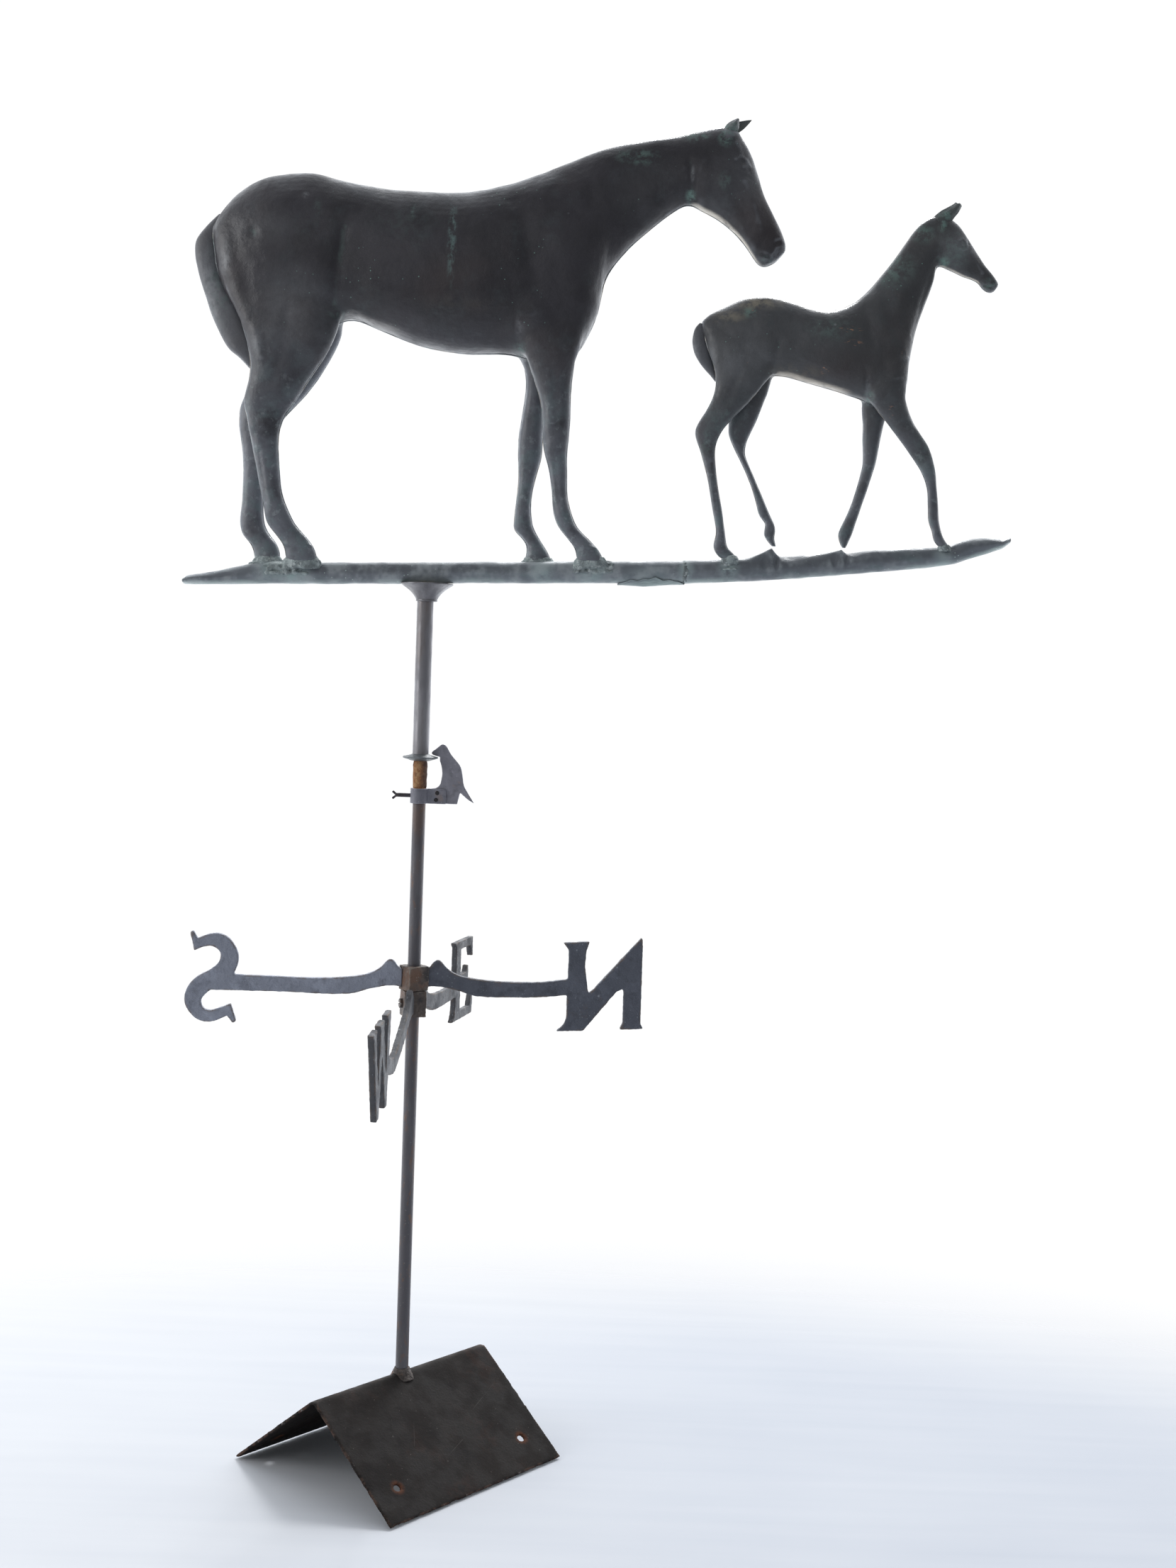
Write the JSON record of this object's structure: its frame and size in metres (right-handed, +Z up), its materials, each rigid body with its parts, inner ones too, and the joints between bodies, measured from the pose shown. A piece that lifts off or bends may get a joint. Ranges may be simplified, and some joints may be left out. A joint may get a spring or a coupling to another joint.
{
  "type": "weather vane",
  "caption": "Weather vane: hollow copper mare and foal on a tube bar that turns on a steel mast, with compass letters and a roof ridge saddle.",
  "frame": {"origin": "on the mast's axis, level with the feet of the ridge saddle", "axes": "+Z up along the mast; at rest the mare's nose and the foal point along +X, and -Y is their near side"},
  "size_m": [0.7962, 0.426, 1.3211],
  "materials": {
    "saddle_steel": "old dark paint with rust blotches and chipped edges",
    "weld": "rough weld bead, painted over and rusting",
    "rod_steel": "thin dark paint, rusty and bare where the rotor rubs",
    "bearing_steel": "polished",
    "hub_iron": "rusty cast iron",
    "letter_iron": "blue grey oxide with fine pale speckles",
    "screw_steel": "darkened steel",
    "keeper_steel": "darkened steel strap",
    "keeper_sheet": "dark grey sheet",
    "rivet_steel": "dark peened heads",
    "tube_copper": "dark brown satin copper",
    "flange_copper": "dark oxidised copper",
    "bearing_bronze": "oiled bronze",
    "funnel_copper": "dark oxidised copper",
    "bar_patina": "grey green patina with pale solder stains",
    "mare_copper": "brown black patina with green streaks",
    "foal_copper": "brown black patina with copper scratches",
    "ear_patina": "green patina",
    "solder_crust": "crusty pale green solder"
  },
  "bodies": {
    "stand": {"ridge_saddle": "saddle_steel", "saddle_weld": "weld", "mast_rod": "rod_steel", "pivot_ball": "bearing_steel"},
    "ns_directional": {"ns_hub": "hub_iron", "north_arm": "letter_iron", "south_arm": "letter_iron", "ns_set_screw": "screw_steel"},
    "ew_directional": {"ew_hub": "hub_iron", "east_arm": "letter_iron", "west_arm": "letter_iron", "ew_set_screw": "screw_steel"},
    "keeper": {"keeper_collar": "keeper_steel", "keeper_figure": "keeper_sheet", "keeper_rivets": "rivet_steel"},
    "thumb_screw": {"keeper_screw": "screw_steel"},
    "vane": {"rotor_tube": "tube_copper", "tube_flange": "flange_copper", "lower_bush": "bearing_bronze", "rotor_cap": "bearing_bronze", "funnel": "funnel_copper", "bar_left": "bar_patina", "bar_right": "bar_patina", "bar_splice": "bar_patina", "mare_near_shell": "mare_copper", "mare_far_shell": "mare_copper", "mare_tail": "mare_copper", "mare_ears": "ear_patina", "mare_hoof_solder": "solder_crust", "foal_near_shell": "foal_copper", "foal_far_shell": "foal_copper", "foal_tail": "foal_copper", "foal_ears": "ear_patina", "foal_hoof_solder": "solder_crust"}
  },
  "joints": [
    {"name": "vane_spin", "type": "hinge", "parent": "stand", "child": "vane", "pos_m": [0, 0, 0.77], "axis": [0, 0, 1], "continuous": true},
    {"name": "ns_turn", "type": "hinge", "parent": "stand", "child": "ns_directional", "pos_m": [0, 0, 0.4815], "axis": [0, 0, 1], "range_deg": [-15, 15]},
    {"name": "ew_turn", "type": "hinge", "parent": "stand", "child": "ew_directional", "pos_m": [0, 0, 0.4565], "axis": [0, 0, 1], "range_deg": [-15, 15]},
    {"name": "keeper_turn", "type": "hinge", "parent": "stand", "child": "keeper", "pos_m": [0, 0, 0.6603], "axis": [0, 0, 1], "continuous": true},
    {"name": "thumb_screw_turn", "type": "hinge", "parent": "keeper", "child": "thumb_screw", "pos_m": [-0.02, 0, 0.6604], "axis": [-1, 0, 0], "range_deg": [0, 360]}
  ]
}
